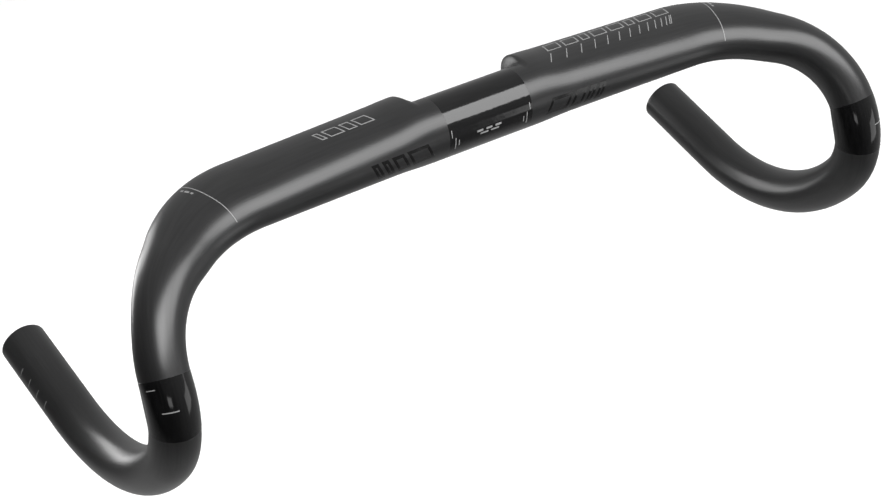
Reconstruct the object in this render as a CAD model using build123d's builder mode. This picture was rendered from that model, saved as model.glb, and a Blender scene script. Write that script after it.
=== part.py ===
from build123d import *
import os

os.makedirs("parts", exist_ok=True)

# Drop handlebar in moulded carbon: a round stem clamp, tops that swell rearward into wings,
# and two compact hooks. Millimetres. The origin is the centre of the stem clamp.
# +Z is up, -Y is forward and +X is the rider's left. The left half is drawn, and the right
# half is its mirror image in the YZ plane.

# ---- stem clamp -------------------------------------------------------------------------
CLAMP_R = 15.9               # 31.8 mm stem clamp
CLAMP_HALF = 31.5            # half the length of the round barrel
CLAMP_WALL = 3.0
REINFORCEMENT_WALL = 1.0
REINFORCEMENT_HALF = 27.0

# ---- tube -------------------------------------------------------------------------------
TUBE_R = 12.0                # 24 mm drops
WALL = 2.2
END_ROUNDING = 0.6

# ---- centreline of the left half: corner points and bend radii ---------------------------
CLAMP_CORNER = (38.0, 0.0, 0.0)
TOP_CORNER = (154.5, -4.5, 0.0)
RAMP_CORNER = (208.0, -42.0, -4.0)
HOOK_CORNER = (209.5, -81.5, -49.5)
DROP_CORNER = (210.0, -39.5, -131.5)
BAR_END = (211.0, 77.5, -128.0)
CLAMP_BEND_R = 300.0
TOP_BEND_R = 77.0
RAMP_BEND_R = 52.0
HOOK_BEND_R = 40.5
DROP_BEND_R = 101.5

# ---- wings: half sizes of the section (front, rear, top, bottom) --------------------------
WING_ROOT = (16.2, 26.2, 15.2, 14.3)
WING_TIP = (15.9, 27.1, 11.7, 10.3)
SHOULDERS = (22.0, 4.3, 22.0, 22.0)   # lengths over which the barrel turns into the wing
WING_END = 131.0             # stations along the centreline, measured from the clamp
ROUND_FROM = 228.0
SHOULDER_SECTIONS = 6        # sections that each loft passes through
WING_SECTIONS = 25
JOINT = 237.5

# ---- joint sleeves ------------------------------------------------------------------------
SLEEVE_HALF = 9.0
SLEEVE_WALL = 1.2
BOND_GAP = 0.15

# ---- lacquer and print --------------------------------------------------------------------
LACQUER = 0.10
PRINT = 0.06
LINE_WIDTH = 0.45
GLOSS_HALF = 25.0            # half the width of the gloss band at the stem clamp
LEVER_PATCH_START = 241.0
LEVER_PATCH_END = 266.0

# Section angles run from the rear, up over the top and to the front, in degrees.
CLAMP_TICKS = [(23.6, 148, 162), (21.6, 164, 188), (19.6, 170, 182)]   # distance, angles
CLAMP_DASHES = [                                                       # middle, half length, angles
    (-7.0, 1.8, 165, 169), (-1.5, 1.8, 165, 169), (4.0, 1.8, 165, 169),
    (-4.5, 2.4, 172, 175), (2.0, 2.4, 172, 175),
]
CENTRE_MARK_ANGLES = (106, 118)
LEVER_TICKS = [(253.5, 46, 84), (244.0, 20, 44)]       # station, angles
END_SCALE_START = 415.0
END_SCALE_PITCH = 8.3
END_SCALE_LINES = 4
END_SCALE_ANGLES = (152, 176)
TAPE_LINES = [                                                         # station, width, angles
    (151.0, LINE_WIDTH, 0, 145), (153.2, 1.0, 36, 42), (153.2, 1.0, 45, 53), (153.2, 1.0, 56, 60),
]
RULER_START = 49.5
RULER_LENGTH = 79.0
RULER_LINES = 14
RULER_CROWDING = 1.7         # above 1, the lines get closer together outward
RULER_LINE_Y = 4.5
RULER_LINE_LENGTH = 8.8
RULER_LINE_SLANT = -35.0     # degrees from the line straight back

# Rows of slanted frames, which stand in for lettering.
LEFT_WING_FRAMES = dict(
    start=52, base=10.5, height=7.5, widths=[9, 9, 5, 9, 9, 5, 9, 9], gap=2.3, slant=2, stroke=0.7
)
RIGHT_WING_FRAMES = dict(
    start=56, base=5.5, height=7, widths=[8, 5, 8, 3], gap=2.0, slant=2, stroke=0.7
)
FRONT_FRAMES = dict(
    start=34, base=-2, height=8.5, widths=[13, 7, 4, 4], gap=2.0, slant=4, stroke=1.5
)

centre_points = [
    (0, 0, 0), CLAMP_CORNER, TOP_CORNER, RAMP_CORNER, HOOK_CORNER, DROP_CORNER, BAR_END,
]
bend_radii = [CLAMP_BEND_R, TOP_BEND_R, RAMP_BEND_R, HOOK_BEND_R, DROP_BEND_R]
with BuildLine() as centreline:
    FilletPolyline(*centre_points, radius=bend_radii)
route = centreline.wire()
LENGTH = route.length


def section_plane(station):
    """Plane across the tube: its x axis points to the rear of the section, its y axis up."""
    tangent = route.tangent_at(station / LENGTH)
    rear = Vector(0, 0, 1).cross(tangent)
    return Plane(origin=route.position_at(station / LENGTH), x_dir=rear, z_dir=tangent)


def part_of_route(start, end):
    """The stretch of the centreline between two stations."""
    return route.trim(start / LENGTH, end / LENGTH)


def ease(start, end, station):
    """0 before start, 1 after end, with a smooth change between them."""
    t = min(max((station - start) / (end - start), 0), 1)
    return t * t * (3 - 2 * t)


def half_sizes(station, grow):
    """Front, rear, top and bottom half sizes of the top's outer shape, grown all round."""
    shoulder_start = CLAMP_HALF - min(grow, 0)
    along = min(max((station - CLAMP_HALF) / (WING_END - CLAMP_HALF), 0), 1)
    fade = ease(WING_END, ROUND_FROM, station)
    sizes = []
    for root, tip, shoulder in zip(WING_ROOT, WING_TIP, SHOULDERS):
        swell = ease(shoulder_start, shoulder_start + shoulder, station)
        wing = root + (tip - root) * along
        wing += (TUBE_R - wing) * fade
        sizes.append(CLAMP_R + (wing - CLAMP_R) * swell + grow)
    return sizes


def wing_section(station, grow):
    """Closed section of four quarter ellipses."""
    front, rear, top, bottom = half_sizes(station, grow)
    quarters = [(rear, top), (front, top), (front, bottom), (rear, bottom)]
    with BuildSketch(section_plane(station)) as section:
        with BuildLine():
            for number, (half_depth, half_height) in enumerate(quarters):
                EllipticalCenterArc((0, 0), half_depth, half_height, 90 * number, arc_size=90)
        make_face()
    return section.sketch


def evenly(start, end, count):
    """Evenly spaced stations, both ends included."""
    return [start + (end - start) * number / (count - 1) for number in range(count)]


def wing_solid(grow):
    """Solid shape of the left top, from the end of the clamp barrel to where it is round."""
    shoulder_start = CLAMP_HALF - min(grow, 0)
    shoulder_end = shoulder_start + min(SHOULDERS)
    with BuildPart() as solid:
        for start, end, count in (
            (shoulder_start, shoulder_end, SHOULDER_SECTIONS), (shoulder_end, ROUND_FROM, WING_SECTIONS),
        ):
            loft(sections=[wing_section(at, grow) for at in evenly(start, end, count)])
    return solid.part


def ring(plane, outer_r, inner_r):
    with BuildSketch(plane) as face:
        Circle(outer_r)
        Circle(inner_r, mode=Mode.SUBTRACT)
    return face.sketch


def tube(start, end, outer_r, inner_r):
    """Round tube along a stretch of the centreline."""
    with BuildPart() as swept:
        sweep(sections=ring(section_plane(start), outer_r, inner_r), path=part_of_route(start, end))
    return swept.part


def ring_sector(plane, outer_r, inner_r, start_angle, end_angle):
    """Part of a ring. Angles are measured from the rear, up over the top and to the front."""
    size = end_angle - start_angle
    with BuildSketch(plane) as face:
        with BuildLine():
            outer = CenterArc((0, 0), outer_r, start_angle, size)
            inner = CenterArc((0, 0), inner_r, start_angle, size)
            Line(outer @ 0, inner @ 0)
            Line(outer @ 1, inner @ 1)
        make_face()
    return face.sketch


def tube_line(station, start_angle, end_angle, base_r):
    """Printed line round part of the tube."""
    profile = ring_sector(section_plane(station), base_r + PRINT, base_r, start_angle, end_angle)
    with BuildPart() as line:
        extrude(profile, amount=LINE_WIDTH)
    return line.part


def clamp_print(start_x, end_x, start_angle, end_angle):
    """Print that lies flush in the gloss band of the clamp barrel."""
    plane = Plane.YZ.offset(start_x)
    profile = ring_sector(plane, CLAMP_R, CLAMP_R - LACQUER, start_angle, end_angle)
    with BuildPart() as mark:
        extrude(profile, amount=end_x - start_x)
    return mark.part


def slanted_frames(plane, start, base, height, widths, gap, slant, stroke):
    """A row of slanted open frames, standing on the line y = base of the plane."""
    with BuildSketch(plane) as frames:
        x = start
        for width in widths:
            for inset, mode in ((0, Mode.ADD), (1, Mode.SUBTRACT)):
                side, end = inset * stroke / width, inset * stroke / height
                with BuildLine():
                    Polyline(
                        *(
                            (x + width * across + slant * up, base + height * up)
                            for across, up in (
                                (side, end), (1 - side, end), (1 - side, 1 - end), (side, 1 - end),
                            )
                        ),
                        close=True,
                    )
                make_face(mode=mode)
            x += width + gap
    return frames.sketch


def wing_print(shape, direction):
    """Film on the left top, cut to a flat shape that is projected along a direction."""
    with BuildPart() as cutter:
        extrude(shape, amount=2 * CLAMP_R, dir=direction)
    with BuildPart() as film:
        add(outer_wing.moved(Location(direction * PRINT)))
        add(cutter.part, mode=Mode.INTERSECT)
        add(outer_wing, mode=Mode.SUBTRACT)
    return film.part


def save(part, name):
    part.label = name
    export_step(part, f"parts/{name}.step")


def save_pair(part, name):
    save(part, f"left_{name}")
    save(mirror(part, about=Plane.YZ), f"right_{name}")


# ---- mouldings ------------------------------------------------------------------------------
outer_wing = wing_solid(0)
inner_wing = wing_solid(-WALL)

with BuildPart() as half_top:
    add(outer_wing)
    add(inner_wing, mode=Mode.SUBTRACT)
    add(tube(ROUND_FROM, JOINT, TUBE_R, TUBE_R - WALL))

with BuildPart() as top_moulding:
    Cylinder(CLAMP_R, 2 * CLAMP_HALF, rotation=(0, 90, 0))
    add(half_top.part)
    mirror(half_top.part, about=Plane.YZ)
    Cylinder(
        CLAMP_R - CLAMP_WALL, 2 * (CLAMP_HALF + WALL + 1), rotation=(0, 90, 0), mode=Mode.SUBTRACT
    )
    with BuildSketch(Plane.YZ.offset(-GLOSS_HALF)):
        Circle(CLAMP_R + LACQUER)
        Circle(CLAMP_R - LACQUER, mode=Mode.SUBTRACT)
    extrude(amount=2 * GLOSS_HALF, mode=Mode.SUBTRACT)
save(top_moulding.part, "top_moulding")

with BuildPart() as drop:
    add(tube(JOINT, LENGTH, TUBE_R, TUBE_R - WALL))
    # Nearest to the middle of the end is the rim of the bore, then the outer rim.
    rim = drop.edges().filter_by(GeomType.CIRCLE).sort_by_distance(BAR_END)[1]
    fillet(rim, END_ROUNDING)
save_pair(drop.part, "drop")

# ---- pieces inside the tube -------------------------------------------------------------------
sleeve_r = TUBE_R - WALL - BOND_GAP
joint_sleeve = tube(JOINT - SLEEVE_HALF, JOINT + SLEEVE_HALF, sleeve_r, sleeve_r - SLEEVE_WALL)
save_pair(joint_sleeve, "joint_sleeve")

with BuildPart() as clamp_reinforcement:
    with BuildSketch(Plane.YZ.offset(-REINFORCEMENT_HALF)):
        Circle(CLAMP_R - CLAMP_WALL)
        Circle(CLAMP_R - CLAMP_WALL - REINFORCEMENT_WALL, mode=Mode.SUBTRACT)
    extrude(amount=2 * REINFORCEMENT_HALF)
save(clamp_reinforcement.part, "clamp_reinforcement")

# ---- stem clamp: gloss band with its printed scale ----------------------------------------------
with BuildPart() as clamp_scale:
    for distance, start_angle, end_angle in CLAMP_TICKS:
        for middle in (-distance, distance):
            half_line = LINE_WIDTH / 2
            add(clamp_print(middle - half_line, middle + half_line, start_angle, end_angle))
    for middle, half_length, start_angle, end_angle in CLAMP_DASHES:
        add(clamp_print(middle - half_length, middle + half_length, start_angle, end_angle))
save(clamp_scale.part, "clamp_scale")

centre_mark = clamp_print(-LINE_WIDTH / 2, LINE_WIDTH / 2, *CENTRE_MARK_ANGLES)
save(centre_mark, "centre_mark")

with BuildPart() as clamp_gloss_band:
    with BuildSketch(Plane.YZ.offset(-GLOSS_HALF)):
        Circle(CLAMP_R)
        Circle(CLAMP_R - LACQUER, mode=Mode.SUBTRACT)
    extrude(amount=2 * GLOSS_HALF)
    add(clamp_scale.part, mode=Mode.SUBTRACT)
    add(centre_mark, mode=Mode.SUBTRACT)
save(clamp_gloss_band.part, "clamp_gloss_band")

# ---- drops: gloss patch for the lever clamp, its scale, and the scale for cutting the end -------
lever_patch = tube(LEVER_PATCH_START, LEVER_PATCH_END, TUBE_R + LACQUER, TUBE_R)
save_pair(lever_patch, "lever_patch")

with BuildPart() as lever_scale:
    for station, start_angle, end_angle in LEVER_TICKS:
        add(tube_line(station, start_angle, end_angle, TUBE_R + LACQUER))
save_pair(lever_scale.part, "lever_scale")

with BuildPart() as end_scale:
    for number in range(END_SCALE_LINES):
        station = END_SCALE_START + number * END_SCALE_PITCH
        add(tube_line(station, *END_SCALE_ANGLES, TUBE_R))
save_pair(end_scale.part, "end_scale")

# ---- print on the tops ---------------------------------------------------------------------------
up = Vector(0, 0, 1)
forward = Vector(0, -1, 0)

with BuildPart() as tape_line:
    for station, width, start_angle, end_angle in TAPE_LINES:
        profile = ring_sector(
            section_plane(station), 2 * CLAMP_R, TUBE_R / 2, start_angle, end_angle
        )
        with BuildPart(mode=Mode.PRIVATE) as line:
            extrude(wing_section(station, PRINT), amount=width)
            extrude(profile, amount=width, mode=Mode.INTERSECT)
            add(outer_wing, mode=Mode.SUBTRACT)
        add(line.part)
save_pair(tape_line.part, "tape_line")

with BuildSketch() as ruler_lines:
    for number in range(RULER_LINES):
        left_over = 1 - number / (RULER_LINES - 1)
        x = RULER_START + RULER_LENGTH * (1 - left_over ** RULER_CROWDING)
        with Locations((x, RULER_LINE_Y)):
            Rectangle(LINE_WIDTH, RULER_LINE_LENGTH, rotation=RULER_LINE_SLANT)
save(wing_print(ruler_lines.sketch, up), "top_ruler")

left_frames = slanted_frames(Plane.XY, **LEFT_WING_FRAMES)
save(wing_print(left_frames, up), "left_wing_mark")

right_frames = slanted_frames(Plane.XY, **RIGHT_WING_FRAMES)
save(mirror(wing_print(right_frames, up), about=Plane.YZ), "right_wing_mark")

front_frames = slanted_frames(Plane.XZ, **FRONT_FRAMES)
save_pair(wing_print(front_frames, forward), "front_mark")
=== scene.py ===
import math

import bpy
from mathutils import Matrix, Vector


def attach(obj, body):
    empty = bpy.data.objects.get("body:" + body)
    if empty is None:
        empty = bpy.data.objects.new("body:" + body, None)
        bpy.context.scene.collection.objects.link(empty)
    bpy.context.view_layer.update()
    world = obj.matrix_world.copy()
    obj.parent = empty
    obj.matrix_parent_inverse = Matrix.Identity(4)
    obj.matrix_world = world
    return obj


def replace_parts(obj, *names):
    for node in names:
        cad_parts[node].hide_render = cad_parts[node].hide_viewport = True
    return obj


# Looks of the drop handlebar. Lengths are millimetres until a mesh is made, and metres after it.
# +X is the rider's left, -Y is forward and +Z is up. Stations run along the centreline from the
# middle of the bar. Section angles run from the rear, up over the top and to the front.

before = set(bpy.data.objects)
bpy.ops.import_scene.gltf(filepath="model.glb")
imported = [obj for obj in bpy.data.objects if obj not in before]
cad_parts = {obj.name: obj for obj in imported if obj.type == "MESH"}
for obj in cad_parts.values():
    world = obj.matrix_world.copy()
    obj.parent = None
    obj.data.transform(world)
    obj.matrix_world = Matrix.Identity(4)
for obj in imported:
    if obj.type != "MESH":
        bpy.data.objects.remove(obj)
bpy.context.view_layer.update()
MM = 0.001                        # metres

# ---- camera -------------------------------------------------------------------------------------
CAMERA_AZIMUTH = -39.87
CAMERA_ELEVATION = 42.94
CAMERA_ROLL = 7.93
CAMERA_DISTANCE = 1.10856
CAMERA_AIM_RIGHT = -0.015984      # the aimed point, across and up from the stem clamp
CAMERA_AIM_UP = -0.067964
CAMERA_LENS = 91.024
CAMERA_SENSOR = 36
CAMERA_REACH = 20

azimuth, elevation, roll = (
    math.radians(a) for a in (CAMERA_AZIMUTH, CAMERA_ELEVATION, CAMERA_ROLL)
)
back = Vector((
    math.sin(azimuth) * math.cos(elevation),
    -math.cos(azimuth) * math.cos(elevation),
    math.sin(elevation),
))
level = Vector((math.cos(azimuth), math.sin(azimuth), 0))
upright = back.cross(level)
across = level * math.cos(roll) + upright * math.sin(roll)
upward = upright * math.cos(roll) - level * math.sin(roll)

camera_data = bpy.data.cameras.new("camera")
camera_data.sensor_width = CAMERA_SENSOR
camera_data.lens = CAMERA_LENS
camera_data.clip_end = CAMERA_REACH
camera = bpy.data.objects.new("camera", camera_data)
bpy.context.scene.collection.objects.link(camera)
turn = Matrix((across, upward, back)).transposed()
aim = across * CAMERA_AIM_RIGHT + upward * CAMERA_AIM_UP
camera.matrix_world = Matrix.Translation(aim + back * CAMERA_DISTANCE) @ turn.to_4x4()
bpy.context.scene.camera = camera

# ---- the bar's own sizes, as in the CAD model ---------------------------------------------------
CLAMP_R = 15.9
CLAMP_HALF = 31.5
CLAMP_WALL = 3.0
TUBE_R = 12.0
WALL = 2.2
END_ROUNDING = 0.6
CORNERS = [
    (0, 0, 0), (38, 0, 0), (154.5, -4.5, 0), (208, -42, -4), (209.5, -81.5, -49.5),
    (210, -39.5, -131.5), (211, 77.5, -128),
]
BEND_RADII = [300.0, 77.0, 52.0, 40.5, 101.5]
WING_ROOT = (16.2, 26.2, 15.2, 14.3)      # half sizes to the front, rear, top and bottom
WING_TIP = (15.9, 27.1, 11.7, 10.3)
SHOULDERS = (22.0, 4.3, 22.0, 22.0)
WING_END = 131.0
ROUND_FROM = 228.0
JOINT = 237.5
LACQUER = 0.10
PRINT = 0.06
LINE_WIDTH = 0.45
GLOSS_HALF = 25.0
LEVER_PATCH = (241.0, 266.0)

# What is printed on the bar. Widths and lengths are along it, and angles in degrees are round it.
CLAMP_TICKS = [(23.6, 148, 162), (21.6, 164, 188), (19.6, 170, 182)]   # distance, angles
CLAMP_DASHES = [                                                       # middle, half length, angles
    (-7.0, 1.8, 165, 169), (-1.5, 1.8, 165, 169), (4.0, 1.8, 165, 169),
    (-4.5, 2.4, 172, 175), (2.0, 2.4, 172, 175),
]
CENTRE_MARK_ANGLES = (106, 118)
LEVER_TICKS = [(253.5, 46, 84), (244.0, 20, 44)]                       # station, angles
END_SCALE_START = 415.0
END_SCALE_PITCH = 8.3
END_SCALE_LINES = 4
END_SCALE_ANGLES = (152, 176)
TAPE_LINES = [                                                         # station, width, angles
    (151.0, LINE_WIDTH, 0, 145), (153.2, 1.0, 36, 42), (153.2, 1.0, 45, 53), (153.2, 1.0, 56, 60),
]
RULER_START = 49.5
RULER_LENGTH = 79.0
RULER_LINES = 14
RULER_CROWDING = 1.7              # above 1, the lines get closer together outward
RULER_LINE_Y = 4.5
RULER_LINE_LENGTH = 8.8
RULER_LINE_SLANT = math.radians(-35)
LEFT_WING_FRAMES = dict(
    start=52, base=10.5, height=7.5, widths=[9, 9, 5, 9, 9, 5, 9, 9], gap=2.3, slant=2, stroke=0.7
)
RIGHT_WING_FRAMES = dict(
    start=56, base=5.5, height=7, widths=[8, 5, 8, 3], gap=2.0, slant=2, stroke=0.7
)
FRONT_FRAMES = dict(
    start=34, base=-2, height=8.5, widths=[13, 7, 4, 4], gap=2.0, slant=4, stroke=1.5
)

# How finely the meshes are made, and how thin films sit on the skin.
AROUND = 96                       # points round a section
SKIN_STEP = 1.5                   # between rows along the bar
BORE_STEP = 3.0
SHOULDER_STEP = 0.3
CLAMP_EDGE_STEP = 1.3
CLAMP_STEP = 1.6
GLOSS_STEP = 1.25
PRINT_STEP = 1.2
RIM_STEPS = 5
RIM_CHAMFER = 0.25                # at the edge of the bore
BORE_MOUTH = 2.0                  # where the even rows of the bore start
SHARP_ANGLE = 32                  # degrees, between faces that aren't shaded as one
SUNK = 0.03                       # how far a film's underside lies below the skin
FILM_EDGE = 0.04                  # softening of the edges of the lacquer
CLAMP_PRINT = PRINT / 3           # how far the print stands out of the clamp's lacquer
DEGREE_LENGTH = 0.21              # millimetres that stand for a degree where a flat holds an angle


# ---- centreline ---------------------------------------------------------------------------------
def rounded_route(corners, radii):
    """Runs and arcs through the corners, each as (length, what it needs to be placed)."""
    parts = []
    corners = [Vector(c) for c in corners]
    start = corners[0]
    for before, corner, after, radius in zip(corners, corners[1:], corners[2:], radii):
        into = (corner - before).normalized()
        out = (after - corner).normalized()
        angle = into.angle(out)
        cut = radius * math.tan(angle / 2)
        arc_start = corner - into * cut
        parts.append(((arc_start - start).length, start, into, None, None))
        side = (out - into * into.dot(out)).normalized()
        parts.append((radius * angle, arc_start + side * radius, into, -side, radius))
        start = corner + out * cut
    parts.append(((corners[-1] - start).length, start, out, None, None))
    return parts


ROUTE = rounded_route(CORNERS, BEND_RADII)
LENGTH = sum(part[0] for part in ROUTE)


def centre(station):
    """Point and direction of the centreline at a station."""
    for number, (length, origin, direction, spoke, radius) in enumerate(ROUTE):
        if station <= length or number == len(ROUTE) - 1:
            break
        station -= length
    if spoke is None:
        return origin + direction * station, direction
    angle = station / radius
    point = origin + (spoke * math.cos(angle) + direction * math.sin(angle)) * radius
    return point, direction * math.cos(angle) - spoke * math.sin(angle)


def upright_frame(station):
    """Centre of the section, its direction to the rear and its direction up."""
    point, tangent = centre(station)
    rear = Vector((0, 0, 1)).cross(tangent).normalized()
    return point, rear, tangent.cross(rear)


def carried_frames(stations):
    """Frames along the drop, carried from one to the next without twist."""
    frames = [upright_frame(stations[0])]
    tangent = centre(stations[0])[1]
    for station in stations[1:]:
        point, following = centre(station)
        rear = tangent.rotation_difference(following) @ frames[-1][1]
        rear = (rear - following * rear.dot(following)).normalized()
        frames.append((point, rear, following.cross(rear)))
        tangent = following
    return frames


def ease(start, end, value):
    t = min(max((value - start) / (end - start), 0), 1)
    return t * t * (3 - 2 * t)


def half_sizes(station, grow):
    """Front, rear, top and bottom half sizes of the top's section."""
    shoulder_start = CLAMP_HALF - min(grow, 0)
    along = min(max((station - CLAMP_HALF) / (WING_END - CLAMP_HALF), 0), 1)
    fade = ease(WING_END, ROUND_FROM, station)
    sizes = []
    for root, tip, shoulder in zip(WING_ROOT, WING_TIP, SHOULDERS):
        swell = ease(shoulder_start, shoulder_start + shoulder, station)
        wing = root + (tip - root) * along
        wing += (TUBE_R - wing) * fade
        sizes.append(CLAMP_R + (wing - CLAMP_R) * swell + grow)
    return sizes


def top_point(station, angle, grow):
    """Point on the left top's skin. The angle is the ellipse's own, in radians."""
    point, rear, up = upright_frame(station)
    front_size, rear_size, top, bottom = half_sizes(station, grow)
    c, s = math.cos(angle), math.sin(angle)
    across_it = rear * c * (rear_size if c > 0 else front_size)
    return point + across_it + up * s * (top if s > 0 else bottom)


def evenly(start, end, step):
    """Even values from start to end, no more than a step apart."""
    allowance = 1e-6              # keeps a whole number of steps from being rounded up
    count = max(1, math.ceil(abs(end - start) / step - allowance))
    return [start + (end - start) * n / count for n in range(count + 1)]


def circle_angles():
    return [2 * math.pi * n / AROUND for n in range(AROUND)]


# ---- meshes -------------------------------------------------------------------------------------
def make_piece(name, points, faces, materials, face_materials=None, straight=None):
    """Smooth mesh object from points in millimetres, riding on the bar. Its finish goes by the name
    in slots, and straight gives each point's place for the textures."""
    mesh = bpy.data.meshes.new(name)
    mesh.from_pydata([p * MM for p in points], [], faces)
    mesh.validate()
    for material in materials:
        mesh.materials.append(material)
    if face_materials:
        mesh.polygons.foreach_set("material_index", face_materials)
    mesh.polygons.foreach_set("use_smooth", [True] * len(mesh.polygons))
    mesh.set_sharp_from_angle(angle=math.radians(SHARP_ANGLE))
    if straight:
        attribute = mesh.attributes.new("straight", "FLOAT_VECTOR", "POINT")
        attribute.data.foreach_set("vector", [c for p in straight for c in p])
    piece = bpy.data.objects.new(name, mesh)
    bpy.context.scene.collection.objects.link(piece)
    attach(piece, "root")
    return piece


def straight_place(station, angle, radius):
    """The place that a point would have on a straight round bar, in metres, for the textures."""
    return (
        station * MM, radius * math.cos(angle) * MM, radius * math.sin(angle) * MM,
    )


def tube_faces(rows, first=0, flip=False):
    """Quads between neighbouring rows of points."""
    faces = []
    for row in range(rows - 1):
        for column in range(AROUND):
            a, b = (first + row * AROUND + n for n in (column, (column + 1) % AROUND))
            c, d = b + AROUND, a + AROUND
            faces.append((a, d, c, b) if flip else (a, b, c, d))
    return faces


def ring_faces(rows):
    """Quads between neighbouring rows, and between the last row and the first."""
    return [tuple(n % (rows * AROUND) for n in face) for face in tube_faces(rows + 1)]


def mirrored(points):
    return [Vector((-p.x, p.y, p.z)) for p in points]


def turned_over(faces):
    return [tuple(reversed(f)) for f in faces]


def make_pair(name, points, faces, materials, face_materials=None, straight=None):
    """The left piece and its mirror image."""
    for side in ("left", "right"):
        is_left = side == "left"
        yield side, make_piece(
            f"{side}_{name}", points if is_left else mirrored(points),
            faces if is_left else turned_over(faces), materials, face_materials, straight,
        )


# ---- materials ----------------------------------------------------------------------------------
NOISE_ROUGHNESS = 0.55
NOISE_RANGE = (0.3, 0.7)          # where most of a noise's values lie
LACQUER_IOR = 1.5
INK_UNEVENNESS = 0.1
# Depths of the bumps, in metres.
FIBRE_DEPTH = 0.000014
GRAIN_DEPTH = 0.000018
RIPPLE_DEPTH = 0.00003
FINE_DEPTH = 0.000006
LAMINATE_DEPTH = 0.00006


def map_range(tree, value, from_range, to_range):
    """Output of a node that stretches one range of values to another."""
    node = tree.nodes.new("ShaderNodeMapRange")
    for name, limits in (("From", from_range), ("To", to_range)):
        for end, limit in zip(("Min", "Max"), limits):
            node.inputs[f"{name} {end}"].default_value = limit
    tree.links.new(value, node.inputs["Value"])
    return node.outputs["Result"]


class Nodes:
    """Short way to build a node tree."""

    def __init__(self, name):
        self.material = bpy.data.materials.new(name)
        self.material.use_nodes = True
        self.tree = self.material.node_tree
        self.tree.nodes.clear()
        self.shader = self.add("ShaderNodeBsdfPrincipled")
        output = self.add("ShaderNodeOutputMaterial")
        self.link(self.shader.outputs["BSDF"], output.inputs["Surface"])

    def add(self, kind, **settings):
        node = self.tree.nodes.new(kind)
        for key, value in settings.items():
            setattr(node, key, value)
        return node

    def link(self, source, target):
        self.tree.links.new(source, target)

    def place(self, stretch, attribute=True):
        """Texture coordinates in metres, times a stretch along and across the bar."""
        if attribute:
            source = self.add("ShaderNodeAttribute", attribute_name="straight").outputs["Vector"]
        else:
            source = self.add("ShaderNodeTexCoord").outputs["Object"]
        mapping = self.add("ShaderNodeMapping")
        mapping.inputs["Scale"].default_value = stretch
        self.link(source, mapping.inputs["Vector"])
        return mapping.outputs["Vector"]

    def noise(self, place, detail=3):
        node = self.add("ShaderNodeTexNoise")
        node.inputs["Scale"].default_value = 1
        node.inputs["Detail"].default_value = detail
        node.inputs["Roughness"].default_value = NOISE_ROUGHNESS
        self.link(place, node.inputs["Vector"])
        return node.outputs["Fac"]

    def ranged(self, value, low, high):
        """The value of a noise, stretched to run from low to high."""
        return map_range(self.tree, value, NOISE_RANGE, (low, high))

    def colours(self, value, dark, light, spread=NOISE_RANGE):
        node = self.add("ShaderNodeValToRGB")
        for element, position, colour in zip(node.color_ramp.elements, spread, (dark, light)):
            element.position = position
            element.color = (*colour, 1)
        self.link(value, node.inputs["Fac"])
        return node.outputs["Color"]

    def bump(self, height, distance, normal=None):
        node = self.add("ShaderNodeBump")
        node.inputs["Strength"].default_value = 1
        node.inputs["Distance"].default_value = distance
        self.link(height, node.inputs["Height"])
        if normal:
            self.link(normal, node.inputs["Normal"])
        return node.outputs["Normal"]

    def feed(self, **sockets):
        """Links an output, or sets a plain value, on the shader's own sockets."""
        for name, value in sockets.items():
            socket = self.shader.inputs[name.replace("_", " ")]
            if isinstance(value, bpy.types.NodeSocket):
                self.link(value, socket)
            else:
                socket.default_value = value


def matte_carbon(name):
    """Unidirectional carbon under a matt clear coat: faint fibres along the tube, fine grain."""
    n = Nodes(name)
    fibres = n.noise(n.place((45, 1500, 1500)), detail=4)
    clouds = n.noise(n.place((25, 60, 60)), detail=2)
    grain = n.noise(n.place((2600, 2600, 2600)), detail=2)
    n.feed(
        Base_Color=n.colours(fibres, (0.0070, 0.0070, 0.0072), (0.0125, 0.0125, 0.0128)),
        Roughness=n.ranged(clouds, 0.285, 0.325),
        IOR=LACQUER_IOR,
        Normal=n.bump(grain, GRAIN_DEPTH, normal=n.bump(fibres, FIBRE_DEPTH)),
    )
    return n.material


def gloss_lacquer(name):
    """Clear lacquer over the same carbon, with the fibres just visible under it."""
    n = Nodes(name)
    fibres = n.noise(n.place((70, 1300, 1300)), detail=4)
    ripple = n.noise(n.place((190, 330, 330)), detail=2)
    fine = n.noise(n.place((900, 1500, 1500)), detail=3)
    n.feed(
        Base_Color=n.colours(fibres, (0.0012, 0.0012, 0.0013), (0.0040, 0.0040, 0.0042)),
        Roughness=n.ranged(fine, 0.07, 0.12),
        IOR=LACQUER_IOR,
        Normal=n.bump(fine, FINE_DEPTH, normal=n.bump(ripple, RIPPLE_DEPTH)),
    )
    return n.material


def print_ink(name, dark, light, roughness):
    """Screen-printed ink with slightly uneven cover."""
    n = Nodes(name)
    cover = n.noise(n.place((900, 900, 900), attribute=False), detail=3)
    n.feed(
        Base_Color=n.colours(cover, dark, light),
        Roughness=n.ranged(
            cover, roughness * (1 - INK_UNEVENNESS), roughness * (1 + INK_UNEVENNESS)
        ),
        IOR=LACQUER_IOR,
        Normal=n.bump(cover, FINE_DEPTH),
    )
    return n.material


def bare_laminate(name, attribute=True):
    """Inside of the tube: unsanded laminate with the crossing fibres showing."""
    n = Nodes(name)
    along = n.noise(n.place((60, 1100, 1100), attribute), detail=4)
    across_fibres = n.noise(n.place((1100, 90, 90), attribute), detail=4)
    mix = n.add("ShaderNodeMath", operation="MULTIPLY")
    n.link(along, mix.inputs[0])
    n.link(across_fibres, mix.inputs[1])
    n.feed(
        Base_Color=n.colours(
            mix.outputs[0], (0.010, 0.010, 0.010), (0.034, 0.034, 0.035), spread=(0.15, 0.4)
        ),
        Roughness=n.ranged(along, 0.5, 0.66),
        IOR=LACQUER_IOR,
        Normal=n.bump(mix.outputs[0], LAMINATE_DEPTH),
    )
    return n.material


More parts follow.
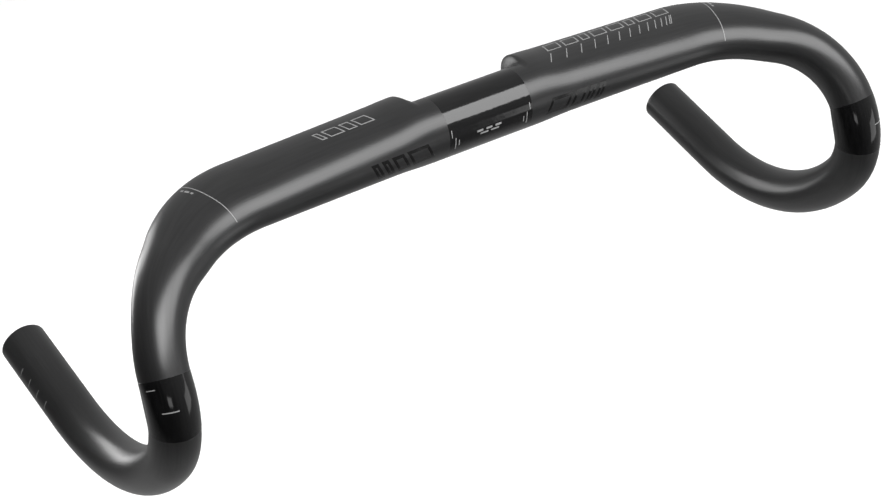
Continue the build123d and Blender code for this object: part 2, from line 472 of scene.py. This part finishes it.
CARBON = matte_carbon("matte_carbon")
GLOSS = gloss_lacquer("gloss_lacquer")
LIGHT_PRINT = print_ink("light_print", (0.15, 0.15, 0.15), (0.23, 0.23, 0.23), roughness=0.5)
BLACK_PRINT = print_ink(
    "gloss_black_print", (0.0008, 0.0008, 0.0008), (0.0016, 0.0016, 0.0016), roughness=0.1
)
LAMINATE = bare_laminate("bare_laminate")
LAMINATE_PLAIN = bare_laminate("bare_laminate_plain", attribute=False)


# ---- top moulding -------------------------------------------------------------------------------
def full_rows(left_rows, place_point):
    """Rows of points over the whole top, right end first. place_point takes a row and an angle."""
    points, places = [], []
    for side, rows in ((-1, list(reversed(left_rows))[:-1]), (1, left_rows)):
        for row in rows:
            for angle in circle_angles():
                point = place_point(row, angle)
                points.append(Vector((side * point.x, point.y, point.z)))
                places.append(straight_place(side * row[0], angle, TUBE_R))
    return points, places, 2 * len(left_rows) - 1


BARREL_END = CLAMP_HALF + WALL + 1      # inside, past the shoulder's own wall


def inner_point(row, angle):
    station = row[0]
    if station < BARREL_END:
        radius = CLAMP_R - CLAMP_WALL
        return Vector((station, radius * math.cos(angle), radius * math.sin(angle)))
    return top_point(station, angle, -WALL)


SHOULDER_END = CLAMP_HALF + min(SHOULDERS)
outer_rows = (
    [(station, -LACQUER) for station in evenly(0, GLOSS_HALF, CLAMP_STEP)]
    + [(station, 0) for station in evenly(GLOSS_HALF, CLAMP_HALF, CLAMP_EDGE_STEP)]
    + [(station, 0) for station in evenly(CLAMP_HALF, SHOULDER_END, SHOULDER_STEP)[1:]]
    + [(station, 0) for station in evenly(SHOULDER_END, JOINT, SKIN_STEP)[1:]]
)
inner_rows = [(station,) for station in evenly(0, JOINT, BORE_STEP)]
outer, outer_places, outer_count = full_rows(
    outer_rows, lambda row, angle: top_point(row[0], angle, row[1])
)
inner, inner_places, inner_count = full_rows(inner_rows, inner_point)
faces = tube_faces(outer_count)
outer_faces = len(faces)
faces += tube_faces(inner_count, first=len(outer), flip=True)
# The two ends of the wall, between the last rows outside and inside.
for outer_row, inner_row, flip in ((0, 0, False), (outer_count - 1, inner_count - 1, True)):
    for column in range(AROUND):
        after = (column + 1) % AROUND
        a, b = outer_row * AROUND + column, outer_row * AROUND + after
        c, d = (len(outer) + inner_row * AROUND + n for n in (after, column))
        faces.append((a, b, c, d) if flip else (d, c, b, a))
top_moulding = make_piece(
    "top_moulding_shell", outer + inner, faces, [CARBON, LAMINATE],
    [0] * outer_faces + [1] * (len(faces) - outer_faces), outer_places + inner_places,
)
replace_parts(top_moulding, "top_moulding")


# ---- drops --------------------------------------------------------------------------------------
def swept_rows(rows):
    """Rows of points round the drop's centreline from (station, radius) pairs."""
    stations = [row[0] for row in rows]
    points, places = [], []
    for (station, radius), (point, rear, up) in zip(rows, carried_frames(stations)):
        for angle in circle_angles():
            points.append(point + (rear * math.cos(angle) + up * math.sin(angle)) * radius)
            places.append(straight_place(station, angle, TUBE_R))
    return points, places


def rounded_rim(station, radius, rounding):
    """Rows that turn from the outer skin to the end face over a quarter circle."""
    rim = []
    for step in range(1, RIM_STEPS + 1):
        angle = math.pi / 2 * step / RIM_STEPS
        rim.append((
            station - rounding + rounding * math.sin(angle),
            radius - rounding + rounding * math.cos(angle),
        ))
    return rim


outer_rows = [(station, TUBE_R) for station in evenly(JOINT, LENGTH - END_ROUNDING, SKIN_STEP)]
outer_rows += rounded_rim(LENGTH, TUBE_R, END_ROUNDING)
inner_r = TUBE_R - WALL
inner_rows = [(LENGTH, inner_r + RIM_CHAMFER), (LENGTH - RIM_CHAMFER, inner_r)]
inner_rows += [(station, inner_r) for station in evenly(LENGTH - BORE_MOUTH, JOINT, BORE_STEP)]
rows = outer_rows + inner_rows
# The rows run out to the end and back inside, so the frames are carried along and back again.
points, places = swept_rows(rows)
faces = tube_faces(len(rows))
last = (len(rows) - 1) * AROUND
for column in range(AROUND):
    after = (column + 1) % AROUND
    faces.append((column, last + column, last + after, after))
outer_faces = len(outer_rows) * AROUND
for side, drop in make_pair(
    "drop_tube", points, faces, [CARBON, LAMINATE],
    [0] * outer_faces + [1] * (len(faces) - outer_faces), places,
):
    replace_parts(drop, f"{side}_drop")


# ---- lacquer ------------------------------------------------------------------------------------
def sleeve_rows(start, end, inner_radius, outer_radius, step):
    """Closed thin ring: rows over the outside with softened edges, then back along the inside."""
    return (
        [(start, outer_radius - FILM_EDGE)]
        + [(at, outer_radius) for at in evenly(start + FILM_EDGE, end - FILM_EDGE, step)]
        + [(end, outer_radius - FILM_EDGE), (end, inner_radius), (start, inner_radius)]
    )


rows = sleeve_rows(-GLOSS_HALF, GLOSS_HALF, CLAMP_R - LACQUER, CLAMP_R, GLOSS_STEP)
points, places = [], []
for station, radius in rows:
    for angle in circle_angles():
        points.append(Vector((station, radius * math.cos(angle), radius * math.sin(angle))))
        places.append(straight_place(station, angle, CLAMP_R))
band = make_piece(
    "clamp_gloss_ring", points, ring_faces(len(rows)), [GLOSS], straight=places
)
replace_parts(band, "clamp_gloss_band")

rows = sleeve_rows(*LEVER_PATCH, TUBE_R - SUNK, TUBE_R + LACQUER, SKIN_STEP)
points, places = swept_rows(rows)
for side, patch in make_pair(
    "lever_gloss_ring", points, ring_faces(len(rows)), [GLOSS], straight=places
):
    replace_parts(patch, f"{side}_lever_patch")


# ---- print --------------------------------------------------------------------------------------
def film(quads, lay):
    """Thin closed films on a skin. Each quad is four corners on the flat, and lay takes a point
    of the flat and a growth to a point on the skin."""
    points, faces = [], []
    for corners in quads:
        a, b, c, d = (Vector(corner) for corner in corners)
        wide = max(1, math.ceil((b - a).length / PRINT_STEP))
        high = max(1, math.ceil((d - a).length / PRINT_STEP))
        first, size = len(points), (wide + 1) * (high + 1)
        for grow in (-SUNK, PRINT):
            for row in range(high + 1):
                for column in range(wide + 1):
                    u, v = column / wide, row / high
                    flat = (a * (1 - u) + b * u) * (1 - v) + (d * (1 - u) + c * u) * v
                    points.append(lay(flat, grow))
        number = [
            [first + row * (wide + 1) + column for column in range(wide + 1)]
            for row in range(high + 1)
        ]
        for row in range(high):
            for column in range(wide):
                p, q = number[row][column], number[row][column + 1]
                r, s = number[row + 1][column + 1], number[row + 1][column]
                faces.append((p, s, r, q))
                faces.append((p + size, q + size, r + size, s + size))
        far_side = [row[-1] for row in number[1:]]
        near_side = [row[0] for row in number[-2:0:-1]]
        rim = number[0] + far_side + number[-1][-2::-1] + near_side
        for p, q in zip(rim, rim[1:] + rim[:1]):
            faces.append((p, q, q + size, p + size))
    return points, faces


def slanted_frames(start, base, height, widths, gap, slant, stroke):
    """Quads of a row of slanted frames, each four strokes round an open middle."""
    quads = []
    end = stroke / height
    for width in widths:
        side = stroke / width
        for near, far, low, high in (
            (0, 1, 0, end), (0, 1, 1 - end, 1), (0, side, end, 1 - end), (1 - side, 1, end, 1 - end)
        ):
            quads.append([
                (start + width * across_share + slant * up_share, base + height * up_share)
                for across_share, up_share in ((near, low), (far, low), (far, high), (near, high))
            ])
        start += width + gap
    return quads


REFINEMENTS = 4                   # rounds in which the nearest station is found


def beside_centre(flat, height):
    """Station nearest to a point of the plan, and how far the point lies to the rear of it."""
    station = flat.x
    for _ in range(REFINEMENTS):
        point, rear, _ = upright_frame(station)
        here = Vector((flat.x, flat.y, height)) - point
        station += here.dot(centre(station)[1])
    return station, here.dot(rear)


def lay_on_top(flat, grow):
    """Point of the left top's skin above a point (x, y)."""
    station, aside = beside_centre(flat, 0)
    front_size, rear_size, _, _ = half_sizes(station, grow)
    return top_point(station, math.acos(aside / (rear_size if aside > 0 else front_size)), grow)


def lay_on_front(flat, grow):
    """Point of the left top's skin in front of a point (x, z)."""
    _, _, top, bottom = half_sizes(flat.x, grow)
    return top_point(flat.x, math.pi - math.asin(flat.y / (top if flat.y > 0 else bottom)), grow)


def lay_by_angle(flat, grow):
    """Point of the left top's skin at a station and an angle in degrees."""
    return top_point(flat.x, math.radians(flat.y / DEGREE_LENGTH), grow)


def lay_on_drop(base_r):
    """Lays by station and angle on the round drop."""
    def lay(flat, grow):
        point, rear, up = upright_frame(flat.x)
        angle = math.radians(flat.y / DEGREE_LENGTH)
        return point + (rear * math.cos(angle) + up * math.sin(angle)) * (base_r + grow)
    return lay


def lay_on_clamp(flat, grow):
    """Point of the clamp barrel's skin at an x and an angle in degrees."""
    angle = math.radians(flat.y / DEGREE_LENGTH)
    radius = CLAMP_R + min(grow, CLAMP_PRINT)
    return Vector((flat.x, radius * math.cos(angle), radius * math.sin(angle)))


def sector(start, end, start_angle, end_angle):
    """Quad between two stations and two angles in degrees."""
    low, high = start_angle * DEGREE_LENGTH, end_angle * DEGREE_LENGTH
    return [(start, low), (end, low), (end, high), (start, high)]


def put_print(name, quads, lay, material, node, pair=False, mirror=False):
    """Film that stands for a CAD node, on the left or both sides, or mirrored to the right."""
    points, faces = film(quads, lay)
    if pair:
        for side, piece in make_pair(name, points, faces, [material]):
            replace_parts(piece, f"{side}_{node}")
        return
    if mirror:
        points, faces = mirrored(points), turned_over(faces)
    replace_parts(make_piece(name, points, faces, [material]), node)


half_line = LINE_WIDTH / 2
ticks = [
    sector(middle - half_line, middle + half_line, *angles)
    for distance, *angles in CLAMP_TICKS for middle in (-distance, distance)
]
dashes = [
    sector(middle - half_length, middle + half_length, *angles)
    for middle, half_length, *angles in CLAMP_DASHES
]
put_print(
    "clamp_scale_print", ticks + dashes, lay_on_clamp, LIGHT_PRINT, "clamp_scale"
)
put_print(
    "centre_mark_print", [sector(-half_line, half_line, *CENTRE_MARK_ANGLES)], lay_on_clamp,
    BLACK_PRINT, "centre_mark",
)
put_print(
    "tape_line_print", [sector(at, at + width, *angles) for at, width, *angles in TAPE_LINES],
    lay_by_angle, LIGHT_PRINT, "tape_line", pair=True,
)
put_print(
    "lever_scale_print", [sector(at, at + LINE_WIDTH, *angles) for at, *angles in LEVER_TICKS],
    lay_on_drop(TUBE_R + LACQUER), LIGHT_PRINT, "lever_scale", pair=True,
)
end_lines = []
for number in range(END_SCALE_LINES):
    station = END_SCALE_START + END_SCALE_PITCH * number
    end_lines.append(sector(station, station + LINE_WIDTH, *END_SCALE_ANGLES))
put_print(
    "end_scale_print", end_lines, lay_on_drop(TUBE_R), LIGHT_PRINT, "end_scale",
    pair=True,
)
ruler = []
ruler_turn = Matrix.Rotation(RULER_LINE_SLANT, 2)
for number in range(RULER_LINES):
    left_over = 1 - number / (RULER_LINES - 1)
    x = RULER_START + RULER_LENGTH * (1 - left_over ** RULER_CROWDING)
    ruler.append([
        Vector((x, RULER_LINE_Y))
        + ruler_turn @ Vector((wide * half_line, long * RULER_LINE_LENGTH / 2))
        for wide, long in ((-1, -1), (1, -1), (1, 1), (-1, 1))
    ])
put_print("top_ruler_print", ruler, lay_on_top, LIGHT_PRINT, "top_ruler")
put_print(
    "left_wing_print", slanted_frames(**LEFT_WING_FRAMES), lay_on_top,
    LIGHT_PRINT, "left_wing_mark",
)
put_print(
    "right_wing_print", slanted_frames(**RIGHT_WING_FRAMES), lay_on_top,
    LIGHT_PRINT, "right_wing_mark", mirror=True,
)
put_print(
    "front_print", slanted_frames(**FRONT_FRAMES), lay_on_front,
    BLACK_PRINT, "front_mark", pair=True,
)

# The pieces inside the tube keep their CAD meshes.
for node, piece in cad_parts.items():
    if node.endswith("joint_sleeve") or node == "clamp_reinforcement":
        for material_slot in piece.material_slots:
            material_slot.material = LAMINATE_PLAIN
        if not piece.material_slots:
            piece.data.materials.append(LAMINATE_PLAIN)


# ---- floor, wall, surroundings and lights -------------------------------------------------------
FLOOR_Z = -0.46                   # metres from here on
FLOOR_HALF = 4.0
WALL_RADIUS = 3.9
WALL_TOP = 3.0
WALL_GLOW = 0.8


def surrounding(name, points, faces, material):
    """Mesh object that is no part of the bar, from points in metres."""
    mesh = bpy.data.meshes.new(name)
    mesh.from_pydata(points, [], faces)
    mesh.materials.append(material)
    thing = bpy.data.objects.new(name, mesh)
    bpy.context.scene.collection.objects.link(thing)
    return thing


pale_floor = Nodes("pale_floor")
speckle = pale_floor.noise(pale_floor.place((40, 40, 40), attribute=False))
pale_floor.feed(
    Base_Color=pale_floor.colours(speckle, (0.91, 0.91, 0.91), (0.94, 0.94, 0.94)), Roughness=0.8
)
floor = surrounding(
    "floor",
    [(x * FLOOR_HALF, y * FLOOR_HALF, FLOOR_Z) for x, y in ((-1, -1), (1, -1), (1, 1), (-1, 1))],
    [(0, 1, 2, 3)], pale_floor.material,
)
floor.visible_glossy = False

# A pale wall stands round the floor. Only the camera sees it, so it doesn't light the bar.
pale_wall = Nodes("pale_wall")
mottle = pale_wall.noise(pale_wall.place((2, 2, 2), attribute=False))
pale_wall.feed(
    Base_Color=(0, 0, 0, 1), Roughness=1.0, Specular_IOR_Level=0.0, Emission_Strength=WALL_GLOW,
    Emission_Color=pale_wall.colours(mottle, (0.96, 0.96, 0.96), (1.0, 1.0, 1.0)),
)
wall = surrounding(
    "wall",
    [
        (WALL_RADIUS * math.cos(angle), WALL_RADIUS * math.sin(angle), height)
        for height in (FLOOR_Z, WALL_TOP) for angle in circle_angles()
    ],
    tube_faces(2), pale_wall.material,
)
wall.visible_glossy = wall.visible_diffuse = wall.visible_shadow = False

# The room is brighter overhead, behind the bar and towards +X, and dark in front and towards -X.
BRIGHT_SIDE = (0.62, 0.4, 0.5)
SIDE_RANGE = (-0.65, 0.6)
SIDE_LIGHT = (0.03, 0.50)
# Below the bar it is evenly lit, as over a pale table. The range is of the height of a direction.
BELOW_RANGE = (-0.85, -0.40)
BELOW_LIGHT = (0.50, 0.0)

world = bpy.data.worlds.new("studio")
bpy.context.scene.world = world
world.use_nodes = True
tree = world.node_tree
direction = tree.nodes.new("ShaderNodeTexCoord").outputs["Generated"]
facing_it = tree.nodes.new("ShaderNodeVectorMath")
facing_it.operation = "DOT_PRODUCT"
facing_it.inputs[1].default_value = BRIGHT_SIDE
tree.links.new(direction, facing_it.inputs[0])
height_split = tree.nodes.new("ShaderNodeSeparateXYZ")
tree.links.new(direction, height_split.inputs["Vector"])
brighter = tree.nodes.new("ShaderNodeMath")
brighter.operation = "MAXIMUM"
for number, (value, from_range, to_range) in enumerate((
    (facing_it.outputs["Value"], SIDE_RANGE, SIDE_LIGHT),
    (height_split.outputs["Z"], BELOW_RANGE, BELOW_LIGHT),
)):
    tree.links.new(map_range(tree, value, from_range, to_range), brighter.inputs[number])
background = tree.nodes["Background"]
background.inputs["Color"].default_value = (1, 1, 1, 1)
tree.links.new(brighter.outputs["Value"], background.inputs["Strength"])


def softbox(name, direction, distance, width, height, radiance):
    """Soft area light that faces the middle of the bar, its width as near to X as it can lie."""
    data = bpy.data.lights.new(name, "AREA")
    data.shape = "RECTANGLE"
    data.size, data.size_y = width, height
    data.energy = radiance * math.pi * width * height
    light = bpy.data.objects.new(name, data)
    towards = Vector(direction).normalized()
    wide = Vector((1, 0, 0))
    wide = (wide - towards * wide.dot(towards)).normalized()
    facing = Matrix((wide, towards.cross(wide), towards)).transposed()
    light.matrix_world = Matrix.Translation(towards * distance) @ facing.to_4x4()
    light.visible_camera = False
    bpy.context.scene.collection.objects.link(light)


SOFTBOXES = [                     # name, direction, distance, width, height, radiance
    ("key", (0.17, -0.432, 0.886), 1.3, 2.1, 0.95, 6.5),
    ("key_left", (-0.16, -0.48, 0.86), 1.2, 0.6, 0.6, 3),
    ("back_left", (-0.40, 0.88, -0.22), 0.75, 0.24, 0.55, 5.5),
    ("front_right", (0.707, -0.707, 0.0), 1.3, 0.65, 0.45, 1.5),
    ("front_left", (-0.533, -0.820, 0.208), 1.3, 0.3, 0.2, 2),
]
# In the names of the lights, left is the left of the picture, which is -X.
for box in SOFTBOXES:
    softbox(*box)

bpy.context.scene.view_settings.view_transform = "Standard"
